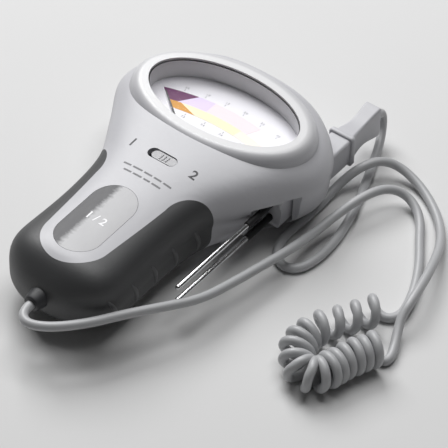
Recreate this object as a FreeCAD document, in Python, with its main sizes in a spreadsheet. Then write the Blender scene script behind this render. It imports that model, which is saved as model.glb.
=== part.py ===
import FreeCAD, Part
import math
import os
from FreeCAD import Placement, Rotation, Vector

# Analogue pool-water tester: a head with a needle meter, a rubber-covered handle, and a
# two-electrode probe that is stored in a tunnel through the head and pulls out towards +Y.
# Frame: +Z up through the dial, +Y from the handle towards the head, origin on the flat back
# below the middle of the window. Millimetres.

DOC = FreeCAD.newDocument("pool_water_tester")
DIMS = DOC.addObject("Spreadsheet::Sheet", "Dims")
SIZES = [
    ("head_half_width", 52.0, "half the width of the head at its widest"),
    ("grip_half_width", 26.4, "half the width of the handle"),
    ("head_centre_y", -1.0, "where the head is widest"),
    ("head_end_reach", 35.6, "from the widest place to the far end"),
    ("grip_end_start_y", -101.0, "where the handle's rounded end begins"),
    ("grip_end_reach", 19.0, "length of the handle's rounded end"),
    ("shell_wall", 3.2, "from the outer skin to the hollow inside"),
    ("rubber_thick", 1.9, "thickness of the rubber boot"),
    ("parting_z", 7.0, "plane where the two shells meet"),
    ("window_half_x", 36.8, "half the window's width"),
    ("window_half_y", 20.0, "half the window's height"),
    ("rim_wide", 5.0, "width of the bright rim"),
    ("rim_top_z", 41.6, "top of the rim"),
    ("lens_thick", 1.4, "thickness of the clear lens"),
    ("lens_base_z", 38.9, "underside of the lens"),
    ("dial_half_x", 41.0, "half the dial plate's width"),
    ("dial_half_y", 23.4, "half the dial plate's height"),
    ("dial_thick", 0.8, "thickness of the dial plate"),
    ("dial_top_z", 31.0, "printed face of the dial plate"),
    ("pivot_y", -25.0, "axis of the needle"),
    ("pointer_reach", 38.0, "needle length from its axis"),
    ("staff_radius", 0.5, "radius of the needle's staff"),
    ("core_radius", 4.8, "radius of the magnet core"),
    ("core_high", 9.0, "height of the magnet core"),
    ("yoke_inner", 7.6, "inner radius of the iron ring"),
    ("yoke_outer", 11.0, "outer radius of the iron ring"),
    ("switch_y", -41.0, "centre of the selector switch"),
    ("switch_rest_x", 1.0, "where the knob rests"),
    ("knob_long", 12.0, "length of the switch knob"),
    ("knob_wide", 4.6, "width of the switch knob"),
    ("slot_long", 14.2, "length of the switch slot"),
    ("slot_wide", 5.4, "width of the switch slot"),
    ("board_thick", 1.6, "circuit board thickness"),
    ("board_base_z", 30.6, "underside of the circuit board"),
    ("board_long", 34.0, "length of the circuit board"),
    ("board_wide", 27.0, "width of the circuit board"),
    ("label_long", 41.2, "length of the silver label"),
    ("label_wide", 20.8, "width of the silver label"),
    ("label_y", -83.7, "centre of the silver label"),
    ("probe_x", 39.2, "axis of the probe"),
    ("probe_z", 16.0, "height of the probe's axis"),
    ("probe_wide", 10.4, "width of the probe body"),
    ("probe_high", 13.2, "height of the probe body"),
    ("probe_tip_y", -19.2, "end face of the probe body"),
    ("probe_flange_y", 31.0, "inner face of the grip's flange"),
    ("holder_gap", 0.8, "space between the probe and its holder"),
    ("holder_wall", 1.2, "wall of the probe holder"),
    ("rod_radius", 1.1, "radius of an electrode rod"),
    ("rod_spread", 3.6, "each rod's distance from the probe's axis"),
    ("rod_end_y", -80.0, "tips of the electrodes"),
    ("sleeve_radius", 1.5, "radius of an electrode's black sleeve"),
    ("sleeve_long", 15.3, "length of an electrode's black sleeve"),
    ("gland_radius", 4.0, "radius of the cable gland"),
    ("gland_z", 20.0, "height of the cable gland"),
    ("gland_end_y", -124.3, "outer face of the cable gland"),
    ("cord_diameter", 4.0, "diameter of the cord"),
    ("curl_diameter", 16.0, "outer diameter of the curly stretch"),
]
for row, (alias, value, note) in enumerate(SIZES, start=1):
    DIMS.set("A%d" % row, note)
    DIMS.set("B%d" % row, str(value))
    DIMS.setAlias("B%d" % row, alias)
DOC.recompute()
SUBPARTS = []
EXTENT = 400.0


def size(alias):
    """The value of a named driving dimension."""
    return float(DIMS.get(alias))


def keep(item, label):
    """Name an object as one of the tester's pieces."""
    item.Label = label
    SUBPARTS.append(item)
    return item


# ---------------------------------------------------------------- parametric building blocks
def bind(item, **expressions):
    """Bind properties to expressions over the spreadsheet."""
    for prop, expression in expressions.items():
        item.setExpression(prop, str(expression))
    return item


def box(name, long_x, long_y, long_z, corner):
    """A Part box with bound sizes and its lowest corner at a place."""
    item = bind(DOC.addObject("Part::Box", name), Length=long_x, Width=long_y, Height=long_z)
    item.Placement = Placement(Vector(*corner), Rotation())
    return item


AXES = {
    "X": Rotation(Vector(0, 1, 0), 90),
    "Y": Rotation(Vector(1, 0, 0), -90),
    "Z": Rotation(),
}


def cylinder(name, radius, height, base, axis="Z"):
    """A Part cylinder that starts at base and runs along +axis."""
    item = bind(DOC.addObject("Part::Cylinder", name), Radius=radius, Height=height)
    item.Placement = Placement(Vector(*base), AXES[axis])
    return item


def ellipse(name, half_x, half_y, z):
    """A Part ellipse in a level plane, its major axis along X."""
    item = bind(DOC.addObject("Part::Ellipse", name), MajorRadius=half_x, MinorRadius=half_y)
    item.Placement = Placement(Vector(0, 0, z), Rotation())
    return item


def extrude(name, base, height):
    """A solid straight up from a closed outline."""
    item = DOC.addObject("Part::Extrusion", name)
    item.Base = base
    item.DirMode = "Custom"
    item.Dir = Vector(0, 0, 1)
    item.Solid = True
    return bind(item, LengthFwd=height)


def cut(name, base, tool):
    item = DOC.addObject("Part::Cut", name)
    item.Base, item.Tool = base, tool
    return item


def common(name, base, tool):
    item = DOC.addObject("Part::Common", name)
    item.Base, item.Tool = base, tool
    return item


def fuse(name, pieces):
    item = DOC.addObject("Part::MultiFuse", name)
    item.Shapes = pieces
    return item


def group(name, pieces):
    """Several separate solids in one piece, such as a set of screws."""
    item = DOC.addObject("Part::Compound", name)
    item.Links = pieces
    return item


def pad(name, outline, base_z, length, plane="XY"):
    """A PartDesign body: one sketch on an origin plane, padded."""
    body = DOC.addObject("PartDesign::Body", name)
    sketch = body.newObject("Sketcher::SketchObject", name + "_sketch")
    plane_face = [o for o in body.Origin.OriginFeatures if o.Role == plane + "_Plane"][0]
    sketch.AttachmentSupport = [(plane_face, "")]
    sketch.MapMode = "FlatFace"
    sketch.AttachmentOffset = Placement(Vector(0, 0, base_z), Rotation())
    sketch.addGeometry(outline, False)
    feature = body.newObject("PartDesign::Pad", name + "_pad")
    feature.Profile = sketch
    feature.setExpression("Length", str(length))
    return body


def polygon(points):
    """Straight sketch lines round a closed outline."""
    corners = [Vector(x, y, 0) for x, y in points]
    return [Part.LineSegment(a, b) for a, b in zip(corners, corners[1:] + corners[:1])]


def rectangle(centre_x, centre_y, wide, high):
    x, y = wide / 2, high / 2
    return polygon([(centre_x + i * x, centre_y + j * y) for i, j in
                    ((-1, -1), (1, -1), (1, 1), (-1, 1))])


def stadium(centre_x, centre_y, long_x, wide_y, upright=False):
    """Sketch lines and arcs of a slot shape; upright turns its length along Y."""
    radius = wide_y / 2
    reach = long_x / 2 - radius

    def at(along, across):
        if upright:
            return Vector(centre_x - across, centre_y + along, 0)
        return Vector(centre_x + along, centre_y + across, 0)

    return [
        Part.LineSegment(at(-reach, -radius), at(reach, -radius)),
        Part.Arc(at(reach, -radius), at(reach + radius, 0), at(reach, radius)),
        Part.LineSegment(at(reach, radius), at(-reach, radius)),
        Part.Arc(at(-reach, radius), at(-reach - radius, 0), at(-reach, -radius)),
    ]


def feature(name, shape):
    """A plain feature, for shapes that neither a body nor a primitive can make."""
    item = DOC.addObject("Part::Feature", name)
    item.Shape = shape
    return item


# ---------------------------------------------------------------- the tester's outer form
# Stations along Y: (y, value). The flare runs from the handle's half width (0) to the head's (1).
FLARE = [(-101, 0.01), (-90, 0.0), (-71, -0.015), (-52, 0.035), (-33, 0.37), (-1, 1.0)]
TOP_Z = [(-125, 36.3), (-100, 36.5), (-76, 37.2), (-40, 39.6), (-15, 41.0), (40, 40.6)]
MIDDLE_Z = [(-125, 17.3), (-95, 17.3), (-28, 21.6), (40, 21.6)]
BOTTOM_Z = [(-125, 4.9), (-60, -0.8), (-40, -0.8), (40, -0.8)]
FAR_ROUND = 11.4
GRIP_ROUND = 17.0
PLAN_POWER = 2.4
TOP_POWER = 3.37
BOTTOM_POWER = 3.28
SECTION_POINTS = 24
END_ANGLES = (20, 40, 56, 70, 81)


def through(stations, y):
    """Smooth curve through the stations that never overshoots them."""
    steps = list(zip(stations, stations[1:]))
    slopes = [(b[1] - a[1]) / (b[0] - a[0]) for a, b in steps]
    tangents = [slopes[0]]
    for before, after in zip(slopes, slopes[1:]):
        tangents.append(0.0 if before * after <= 0 else 2 * before * after / (before + after))
    tangents.append(0.0)
    for index, (a, b) in enumerate(steps):
        if y <= b[0] or index == len(steps) - 1:
            span = b[0] - a[0]
            t = min(max((y - a[0]) / span, 0.0), 1.0)
            rise = (3 - 2 * t) * t * t
            return (a[1] + (b[1] - a[1]) * rise
                    + span * tangents[index] * t * (1 - t) ** 2
                    - span * tangents[index + 1] * t * t * (1 - t))
    return stations[-1][1]


def signed_power(value, power):
    return math.copysign(abs(value) ** power, value)


def section(y, half_width, top, middle, bottom):
    """One closed cross-section: a rounded box that is fuller above and below its middle."""
    points = []
    for step in range(SECTION_POINTS):
        angle = 2 * math.pi * step / SECTION_POINTS
        rise = math.sin(angle)
        high = (top - middle) if rise > 0 else (middle - bottom)
        power = TOP_POWER if rise > 0 else BOTTOM_POWER
        points.append(Vector(half_width * signed_power(math.cos(angle), 2 / PLAN_POWER), y,
                             middle + high * signed_power(rise, 2 / power)))
    curve = Part.BSplineCurve()
    curve.interpolate(Points=points, PeriodicFlag=True)
    return Part.Wire([curve.toShape()])


def outer_form(grow):
    """The whole outer form, grown (or shrunk) by a distance."""
    head_y, head_reach = size("head_centre_y"), size("head_end_reach") + grow
    grip_y, grip_reach = size("grip_end_start_y"), size("grip_end_reach") + grow
    far_y, near_y = head_y + head_reach, grip_y - grip_reach
    slim, wide = size("grip_half_width"), size("head_half_width")

    def half_width(y):
        return slim + (wide - slim) * through(FLARE, y) + grow

    def made(y, narrow):
        far = max(0.0, (y - (far_y - grow - FAR_ROUND)) / (FAR_ROUND + grow))
        near = max(0.0, ((near_y + grow + GRIP_ROUND) - y) / (GRIP_ROUND + grow))
        low = math.sqrt(max(0.0, 1 - far * far)) * math.sqrt(max(0.0, 1 - near * near))
        middle = through(MIDDLE_Z, y)
        return section(y, half_width(min(max(y, grip_y), head_y)) * narrow,
                       middle + (through(TOP_Z, y) + grow - middle) * low, middle,
                       middle - (middle - through(BOTTOM_Z, y) + grow) * low)

    rounds = [(math.sin(math.radians(a)), math.cos(math.radians(a))) for a in END_ANGLES]
    sections = [Part.Vertex(0, near_y, through(MIDDLE_Z, near_y))]
    sections += [made(grip_y - grip_reach * s, c) for s, c in reversed(rounds)]
    sections += [made(y, 1.0) for y in (grip_y, -86, -70, -57, -45, -34, -23, -12, head_y)]
    sections += [made(head_y + head_reach * s, c) for s, c in rounds]
    sections.append(Part.Vertex(0, far_y, through(MIDDLE_Z, far_y)))
    return Part.makeLoft(sections, True, False)


def form(name, grow):
    """The outer form as a document object, flat where it rests on z = 0."""
    flat = box(name + "_floor", EXTENT, EXTENT, 60, (-EXTENT / 2, -EXTENT / 2, max(0.0, -grow)))
    return common(name, feature(name + "_loft", outer_form(grow)), flat)


SKIN = form("skin", 0.0)
UNDER = form("under_rubber", -size("rubber_thick"))


# ---------------------------------------------------------------- rubber boot on the handle
BOOT_FRONT_Y = -44.5
BOOT_ARC = ((31.0, -44.5), (22.2, -49.6), (17.9, -62.0))
TONGUE_HALF = 15.2
TONGUE_END_Y = -95.0
TONGUE_TIP_Y = -110.0


def mirrored(point):
    return (-point[0], point[1])


def arc(start, middle, end):
    return Part.Arc(*[Vector(x, y, 0) for x, y in (start, middle, end)])


def line(start, end):
    return Part.LineSegment(Vector(*start, 0), Vector(*end, 0))


def boot_zone():
    """Where rubber covers the handle: two rounded prongs that hug the neck."""
    side, end = 60.0, -135.0
    outer = [(31.0, BOOT_FRONT_Y), (side, BOOT_FRONT_Y), (side, end), (-side, end),
             (-side, BOOT_FRONT_Y), (-31.0, BOOT_FRONT_Y)]
    outline = [line(a, b) for a, b in zip(outer, outer[1:])]
    outline.append(arc(*[mirrored(p) for p in BOOT_ARC]))
    outline.append(line(mirrored(BOOT_ARC[2]), BOOT_ARC[2]))
    outline.append(arc(*reversed(BOOT_ARC)))
    whole = pad("boot_plan", outline, -5, 70)
    tongue = [
        line((-17.9, -61.0), (-TONGUE_HALF, TONGUE_END_Y)),
        arc((-TONGUE_HALF, TONGUE_END_Y), (0, TONGUE_TIP_Y), (TONGUE_HALF, TONGUE_END_Y)),
        line((TONGUE_HALF, TONGUE_END_Y), (17.9, -61.0)),
        line((17.9, -61.0), (-17.9, -61.0)),
    ]
    return cut("boot_zone", whole, pad("tongue_plan", tongue, 20, 40))


BOOT_ZONE = boot_zone()
BOOT_SKIN = cut("boot_skin", common("boot_block", SKIN, BOOT_ZONE), UNDER)
GLAND_HOLE = cylinder("gland_hole", "Dims.gland_radius + 0.05", 24,
                      (0, size("gland_end_y") - 4, size("gland_z")), "Y")


# ---------------------------------------------------------------- screws and their places
SCREW_PLACES = [(-25.5, -31), (25.0, -31), (0, 26.6), (-12, -99), (12, -99)]
SCREW_HEAD = 2.4
SCREW_HEAD_HIGH = 1.1
SCREW_SHANK = 1.1
SCREW_END_Z = 20.0
BOSS_RADIUS = 3.2
BOSS_BITE = 1.2


def back_z(y):
    """Height of the shell's back, under the rubber where there is rubber."""
    cover = size("rubber_thick") if y < -70 else 0.0
    return max(0.0, through(BOTTOM_Z, y) + cover)


def roof_z(x, y):
    """Height of the hollow's roof over a place inside the tester."""
    wall = size("shell_wall")
    far_y = size("head_centre_y") + size("head_end_reach")
    flare = through(FLARE, min(max(y, size("grip_end_start_y")), size("head_centre_y")))
    wide = size("grip_half_width") + (size("head_half_width") - size("grip_half_width")) * flare
    beyond = max(0.0, y - size("head_centre_y")) / (size("head_end_reach") - wall)
    wide = (wide - wall) * math.sqrt(1 - beyond ** 2)
    far = max(0.0, (y - (far_y - FAR_ROUND)) / (FAR_ROUND - wall))
    middle = through(MIDDLE_Z, y)
    high = (through(TOP_Z, y) - wall - middle) * math.sqrt(1 - far ** 2)
    return middle + high * (1 - (abs(x) / wide) ** PLAN_POWER) ** (1 / TOP_POWER)


def posts(name, radius, start, end):
    """Round posts at the screw places, each from start(x, y) up to end(x, y)."""
    return fuse(name, [
        cylinder("%s_%d" % (name, i), radius, end(x, y) - start(x, y), (x, y, start(x, y)))
        for i, (x, y) in enumerate(SCREW_PLACES)
    ])


def screws():
    """Five pan-head screws that hold the shells together, from the back."""
    made = []
    for i, (x, y) in enumerate(SCREW_PLACES):
        seat = back_z(y) + 0.3
        head = cylinder("screw_head_%d" % i, SCREW_HEAD, SCREW_HEAD_HIGH, (x, y, seat))
        shank = cylinder("screw_shank_%d" % i, SCREW_SHANK, SCREW_END_Z - seat, (x, y, seat))
        slot = box("screw_slot_%d" % i, 3.6, 0.7, 1.2, (x - 1.8, y - 0.35, seat - 0.7))
        made.append(cut("screw_%d" % i, fuse("screw_blank_%d" % i, [head, shank]), slot))
    return group("screws", made)


# ---------------------------------------------------------------- probe tunnel
def tunnel(name, clearances, start_y, end_y):
    """A straight block round the probe, wider than it by the named clearances."""
    grow = "".join(" + 2 * Dims." + alias for alias in clearances)
    spare = sum(size(alias) for alias in clearances)
    return box(name, "Dims.probe_wide" + grow, end_y - start_y, "Dims.probe_high" + grow,
               (size("probe_x") - size("probe_wide") / 2 - spare, start_y,
                size("probe_z") - size("probe_high") / 2 - spare))


NOTCH_START_Y = -30.0
NOTCH_END_Y = -11.0
TUNNEL_OUTSIDE = tunnel("tunnel_outside", ("holder_gap", "holder_wall"), NOTCH_START_Y, 60)
TUNNEL_INSIDE = tunnel("tunnel_inside", ("holder_gap",), -70, 70)
NOTCH = box("probe_notch", 15, NOTCH_END_Y - NOTCH_START_Y, 17.7, (45.0, NOTCH_START_Y, 6.9))


def probe_holder():
    """The rectangular tube that stores the probe, open on one side where the notch is."""
    walls = cut("holder_walls", TUNNEL_OUTSIDE, fuse("holder_removed", [TUNNEL_INSIDE, NOTCH]))
    return common("holder", walls, SKIN)


# ---------------------------------------------------------------- rim, lens and window
def rim_blank():
    """The rim before its hole: a stack of ellipses that rolls over at the top."""
    wide = size("rim_wide")
    rolls = [(34.0, wide + 3.2), (39.0, wide + 2.0), (41.0, wide + 0.0),
             (size("rim_top_z"), wide - 2.0)]
    loft = DOC.addObject("Part::Loft", "rim_blank")
    loft.Sections = [
        ellipse("rim_ring_%d" % i, "Dims.window_half_x + %g" % out,
                "Dims.window_half_y + %g" % out, z)
        for i, (z, out) in enumerate(rolls)
    ]
    loft.Solid = True
    loft.Ruled = False
    return loft


def window_block(name, spare, base_z, height):
    outline = ellipse(name + "_edge", "Dims.window_half_x + %g" % spare,
                      "Dims.window_half_y + %g" % spare, base_z)
    return extrude(name, outline, height)


RIM_BLANK = rim_blank()
SKIRT_THICK = 1.2
SKIRT_GAP = 0.1


def window_rim():
    """The bright rim, with the well wall that leads down to the dial."""
    skirt_z = size("dial_top_z") + SKIRT_GAP
    skirt = window_block("rim_skirt", SKIRT_THICK, skirt_z, 35.0 - skirt_z)
    hole = window_block("rim_hole", 0.0, 30, 20)
    needle_gap = box("rim_needle_gap", 37, 30, 5.6, (-18.5, -36, 31.0))
    return cut("rim_open", cut("rim_ring", fuse("rim_whole", [RIM_BLANK, skirt]), hole), needle_gap)


# ---------------------------------------------------------------- shells
HOLLOW = feature("hollow", outer_form(-size("shell_wall")))


def zone(name, base_z, top_z):
    """A wide level slab, to keep one part of the form."""
    return box(name, EXTENT, EXTENT, top_z - base_z, (-EXTENT / 2, -EXTENT / 2, base_z))


def shell_half(name, base_z, top_z):
    """One shell: bare skin on the head, and thinner where the rubber boot covers it."""
    bare = cut(name + "_bare", common(name + "_skin", SKIN, zone(name + "_zone", base_z, top_z)),
               BOOT_ZONE)
    covered = common(name + "_covered", UNDER, zone(name + "_under_zone", base_z, top_z))
    return cut(name + "_hollowed", fuse(name + "_whole", [bare, covered]), HOLLOW)


def label_prism(name, spare, base_z, height):
    """The label's slot shape, standing upright."""
    outline = stadium(0, size("label_y"), size("label_long") + 2 * spare,
                      size("label_wide") + 2 * spare, upright=True)
    return pad(name, outline, base_z, height)


def front_shell():
    """The front shell, with the window, the switch slot, the label's recess and the bosses."""
    part = size("parting_z")
    bosses = posts("front_post", BOSS_RADIUS, lambda x, y: part,
                   lambda x, y: roof_z(x, y) + BOSS_BITE)
    solid = fuse("front_with_bosses", [shell_half("front", part, 60), bosses])
    slot = pad("switch_slot", stadium(0, size("switch_y"), size("slot_long"), size("slot_wide")),
               30, 20)
    recess = cut("label_recess", label_prism("label_gap", 0.15, 32, 20), UNDER)
    well = fuse("window_well", [window_block("well_hole", 2.0, 25, 9.5), RIM_BLANK])
    pilots = posts("pilot", SCREW_SHANK, lambda x, y: 0.0, lambda x, y: SCREW_END_Z)
    removed = fuse("front_removed", [slot, well, pilots, GLAND_HOLE, TUNNEL_OUTSIDE,
                                    NOTCH])
    return cut("front_open", cut("front_recessed", solid, recess), removed)


def rear_shell():
    """The back shell, with the screw seats."""
    part = size("parting_z")
    bosses = posts("rear_post", BOSS_RADIUS, lambda x, y: back_z(y) + 0.6, lambda x, y: part)
    solid = fuse("rear_with_bosses", [shell_half("rear", -5, part), bosses])
    seats = posts("screw_seat", SCREW_HEAD + 0.1, lambda x, y: -1.0,
                  lambda x, y: back_z(y) + 0.3 + SCREW_HEAD_HIGH)
    shanks = posts("shank_hole", SCREW_SHANK, lambda x, y: -1.0, lambda x, y: part + 1)
    return cut("rear_open", solid, fuse("rear_removed", [seats, shanks]))


def grip_boot():
    """The rubber boot, open where the screws and the gland go."""
    access = posts("boot_access", SCREW_HEAD + 0.4, lambda x, y: -1.0, lambda x, y: back_z(y) + 3.0)
    return cut("boot_open", BOOT_SKIN, fuse("boot_removed", [access, GLAND_HOLE]))


def label_plate():
    """The silver label plate, flush with the handle and curved with it."""
    raised = common("label_raised", SKIN, label_prism("label_blank", 0.0, 32, 20))
    return cut("label", raised, UNDER)


keep(front_shell(), "front_shell")
keep(rear_shell(), "rear_shell")
keep(grip_boot(), "grip_boot")
keep(label_plate(), "label_plate")
keep(window_rim(), "window_rim")
keep(window_block("lens_blank", -0.02, size("lens_base_z"), "Dims.lens_thick"), "window_lens")
keep(probe_holder(), "probe_holder")
keep(screws(), "case_screws")


# ---------------------------------------------------------------- dial and its pillars
DIAL_PILLARS = [(-29.4, -13.6), (29.4, 13.6)]
PILLAR_RADIUS = 2.2
DIAL_SCREW_RADIUS = 1.4
INNER_FLOOR_Z = size("shell_wall") - 0.8


def dial_plate():
    """The printed plate, cut back round the meter movement."""
    base_z = size("dial_top_z") - size("dial_thick")
    outline = ellipse("dial_edge", "Dims.dial_half_x", "Dims.dial_half_y", base_z)
    blank = extrude("dial_blank", outline, "Dims.dial_thick")
    notch = box("dial_notch", 44, 10, 4, (-22, -30.4, base_z - 1))
    holes = [cylinder("dial_hole_%d" % i, DIAL_SCREW_RADIUS + 0.03, 4, (x, y, base_z - 1))
             for i, (x, y) in enumerate(DIAL_PILLARS)]
    return cut("dial", blank, fuse("dial_removed", [notch] + holes))


def dial_pillars():
    """Two pillars that stand on the back shell and carry the dial plate."""
    high = size("dial_top_z") - size("dial_thick") - INNER_FLOOR_Z
    return group("pillars", [
        common("pillar_%d" % i, HOLLOW, cylinder("pillar_blank_%d" % i, PILLAR_RADIUS, high,
                                                 (x, y, INNER_FLOOR_Z)))
        for i, (x, y) in enumerate(DIAL_PILLARS)
    ])


def dial_screws():
    """Small flush screws that hold the dial plate on its pillars."""
    return group("dial_screw_pair", [
        cylinder("dial_screw_%d" % i, DIAL_SCREW_RADIUS, "Dims.dial_thick - 0.03",
                 (x, y, size("dial_top_z") - size("dial_thick")))
        for i, (x, y) in enumerate(DIAL_PILLARS)
    ])


keep(dial_plate(), "dial_plate")
keep(dial_pillars(), "dial_pillars")
keep(dial_screws(), "dial_screws")


# ---------------------------------------------------------------- meter movement
FRAME_BASE_Z = 9.5
FRAME_TOP_Z = 34.6
FRAME_THICK = 1.4
POST_X = 15.0
CORE_BASE_Z = 17.5
COIL_HALF_X = 6.9
COIL_THICK = 1.0
COIL_DEEP = 2.4
STAFF_BASE_Z = 12.6
STAFF_TOP_Z = 34.2


def movement_frame():
    """A brass frame: base plate, two posts and the bridge over the needle."""
    pivot_y = size("pivot_y")
    base = box("frame_base", 2 * POST_X + 4, 26, FRAME_THICK,
               (-POST_X - 2, pivot_y - 13, FRAME_BASE_Z))
    bridge = box("frame_bridge", 2 * POST_X + 4, 5, FRAME_THICK,
                 (-POST_X - 2, pivot_y - 2.5, FRAME_TOP_Z))
    sides = [box("frame_post_%d" % i, 2.0, 5, FRAME_TOP_Z - FRAME_BASE_Z,
                 (x, pivot_y - 2.5, FRAME_BASE_Z)) for i, x in enumerate((-POST_X - 2, POST_X))]
    feet = [common("frame_foot_%d" % i, HOLLOW,
                   cylinder("frame_foot_blank_%d" % i, 2.0, FRAME_BASE_Z - INNER_FLOOR_Z,
                            (x, pivot_y - 9, INNER_FLOOR_Z))) for i, x in enumerate((-11, 11))]
    shelf = [box("frame_shelf_%d" % i, POST_X - 9.5, 3, 1.5, (x, pivot_y - 1.5, CORE_BASE_Z - 1.5))
             for i, x in enumerate((-POST_X, 9.5))]
    return fuse("frame", [base, bridge] + sides + feet + shelf)


def yoke_ring():
    """The soft-iron ring round the moving coil."""
    pivot = (0, size("pivot_y"), CORE_BASE_Z)
    return cut("yoke", cylinder("yoke_outside", "Dims.yoke_outer", "Dims.core_high", pivot),
               cylinder("yoke_inside", "Dims.yoke_inner", "Dims.core_high", pivot))


def core_magnet():
    """The round magnet inside the coil, held to the ring by two arms."""
    pivot_y = size("pivot_y")
    core = cylinder("core", "Dims.core_radius", "Dims.core_high", (0, pivot_y, CORE_BASE_Z))
    arms = box("core_arms", 2.4, "2 * Dims.yoke_inner - 0.2", 3.0,
               (-1.2, pivot_y - size("yoke_inner") + 0.1, CORE_BASE_Z + 3))
    bore = cylinder("core_bore", "Dims.staff_radius + 0.5", "Dims.core_high + 2",
                    (0, pivot_y, CORE_BASE_Z - 1))
    return cut("core_bored", fuse("core_blank", [core, arms]), bore)


def jewel_screws():
    """The two jewelled bearing screws at the ends of the staff."""
    pivot_y = size("pivot_y")
    lower = cylinder("jewel_lower", 1.6, STAFF_BASE_Z - FRAME_BASE_Z - FRAME_THICK + 0.6,
                     (0, pivot_y, FRAME_BASE_Z + FRAME_THICK))
    upper = cylinder("jewel_upper", 1.6, 1.0, (0, pivot_y, FRAME_TOP_Z - 1.0))
    cup_low = cylinder("cup_lower", "Dims.staff_radius + 0.05", 2,
                       (0, pivot_y, STAFF_BASE_Z - 0.05))
    cup_up = cylinder("cup_upper", "Dims.staff_radius + 0.05", 1,
                      (0, pivot_y, STAFF_TOP_Z - 0.95))
    return group("jewels", [cut("jewel_0", lower, cup_low), cut("jewel_1", upper, cup_up)])


COIL_TURN = Rotation(Vector(0, 0, 1), 51)


def turned(item):
    """Turn a coil piece about the needle's axis to its rest direction."""
    item.Placement = Placement(Vector(0, size("pivot_y"), 0), COIL_TURN)
    return item


def coil_former():
    """The light frame that the coil is wound on: a loop round the magnet core."""
    high = size("core_high")
    low_z, top_z = CORE_BASE_Z - 1.6, CORE_BASE_Z + high + 1.6
    inner = COIL_HALF_X - COIL_THICK - 0.4
    loop = rectangle(0, (low_z + top_z) / 2, 2 * (inner + 0.4), top_z - low_z)
    hole = rectangle(0, (low_z + top_z) / 2, 2 * inner, top_z - low_z - 0.8)
    return turned(pad("former", loop + hole, -COIL_DEEP / 2, COIL_DEEP, plane="XZ"))


def coil_winding():
    """The copper winding on the former."""
    high = size("core_high")
    low_z, top_z = CORE_BASE_Z - 1.6, CORE_BASE_Z + high + 1.6
    inner = COIL_HALF_X - COIL_THICK
    loop = rectangle(0, (low_z + top_z) / 2, 2 * COIL_HALF_X, top_z - low_z + 2 * COIL_THICK)
    hole = rectangle(0, (low_z + top_z) / 2, 2 * inner, top_z - low_z)
    return turned(pad("winding", loop + hole, -COIL_DEEP / 2 + 0.3, COIL_DEEP - 0.6, plane="XZ"))


def pointer_staff():
    """Two short staffs above and below the coil, with the hub that carries the needle."""
    pivot_y = size("pivot_y")
    top_of_coil = CORE_BASE_Z + size("core_high") + 1.6 + COIL_THICK
    low_of_coil = CORE_BASE_Z - 1.6 - COIL_THICK
    lower = cylinder("staff_lower", "Dims.staff_radius", low_of_coil - STAFF_BASE_Z,
                     (0, pivot_y, STAFF_BASE_Z))
    upper = cylinder("staff_upper", "Dims.staff_radius", STAFF_TOP_Z - top_of_coil,
                     (0, pivot_y, top_of_coil))
    hub = cylinder("staff_hub", 1.5, 1.6, (0, pivot_y, size("dial_top_z") + 0.4))
    return group("staffs", [lower, fuse("staff_with_hub", [upper, hub])])


def pointer_needle():
    """The tapered needle with its short tail, pointing to the left end of the scale."""
    reach = size("pointer_reach")
    outline = polygon([(1.5, -0.7), (reach, -0.2), (reach, 0.2), (1.5, 0.7)])
    needle = pad("needle_blade", outline, size("dial_top_z") + 1.0, 0.4)
    needle.Placement = Placement(Vector(0, size("pivot_y"), 0), Rotation(Vector(0, 0, 1), 141))
    return needle


def balance_weights():
    """The needle's tail, with a small weight that balances it."""
    tail = box("tail_bar", 5.2, 0.8, 0.4, (1.5, -0.4, size("dial_top_z") + 1.0))
    weight = cylinder("tail_weight", 0.9, 0.9, (6.4, 0, size("dial_top_z") + 0.75))
    balance = fuse("tail", [tail, weight])
    balance.Placement = Placement(Vector(0, size("pivot_y"), 0), Rotation(Vector(0, 0, 1), -39))
    return balance


HAIR_WIDE = 0.18
HAIR_HALF_TURNS = 6
HAIR_STEP = 0.42
HAIR_START = 0.9


def hairspring(name, base_z):
    """A flat spiral spring of half circles round the staff."""
    edges_out, edges_in = [], []
    for index in range(HAIR_HALF_TURNS):
        radius = HAIR_START + HAIR_STEP * index
        side = 1 if index % 2 == 0 else -1
        centre = -side * HAIR_STEP / 2
        for edges, spare in ((edges_out, HAIR_WIDE / 2), (edges_in, -HAIR_WIDE / 2)):
            r = radius + spare
            edges.append(Part.Arc(Vector(centre + side * r, 0, 0), Vector(centre, side * r, 0),
                                  Vector(centre - side * r, 0, 0)).toShape())
    last_side = 1 if (HAIR_HALF_TURNS - 1) % 2 == 0 else -1
    end_x = -last_side * HAIR_STEP / 2 - last_side * (HAIR_START + HAIR_STEP * (HAIR_HALF_TURNS - 1))
    start_x = -HAIR_STEP / 2 + HAIR_START
    caps = [Part.LineSegment(Vector(x - HAIR_WIDE / 2, 0, 0), Vector(x + HAIR_WIDE / 2, 0, 0)).toShape()
            for x in (start_x, end_x)]
    outline = Part.Wire(Part.__sortEdges__(edges_out + edges_in + caps))
    item = feature(name, Part.Face(outline).extrude(Vector(0, 0, 0.4)))
    item.Placement = Placement(Vector(0, size("pivot_y"), base_z), Rotation())
    return item


keep(movement_frame(), "movement_frame")
keep(yoke_ring(), "yoke_ring")
keep(core_magnet(), "core_magnet")
keep(jewel_screws(), "jewel_screws")
keep(coil_former(), "coil_former")
keep(coil_winding(), "coil_winding")
keep(pointer_staff(), "pointer_staff")
keep(pointer_needle(), "pointer_needle")
keep(balance_weights(), "pointer_balance")
keep(hairspring("spiral_upper", 29.6), "hairspring_upper")
keep(hairspring("spiral_lower", 13.9), "hairspring_lower")


# ---------------------------------------------------------------- switch and circuit board
SWITCH_BASE_Z = 32.2
SWITCH_TOP_Z = 35.8


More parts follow.
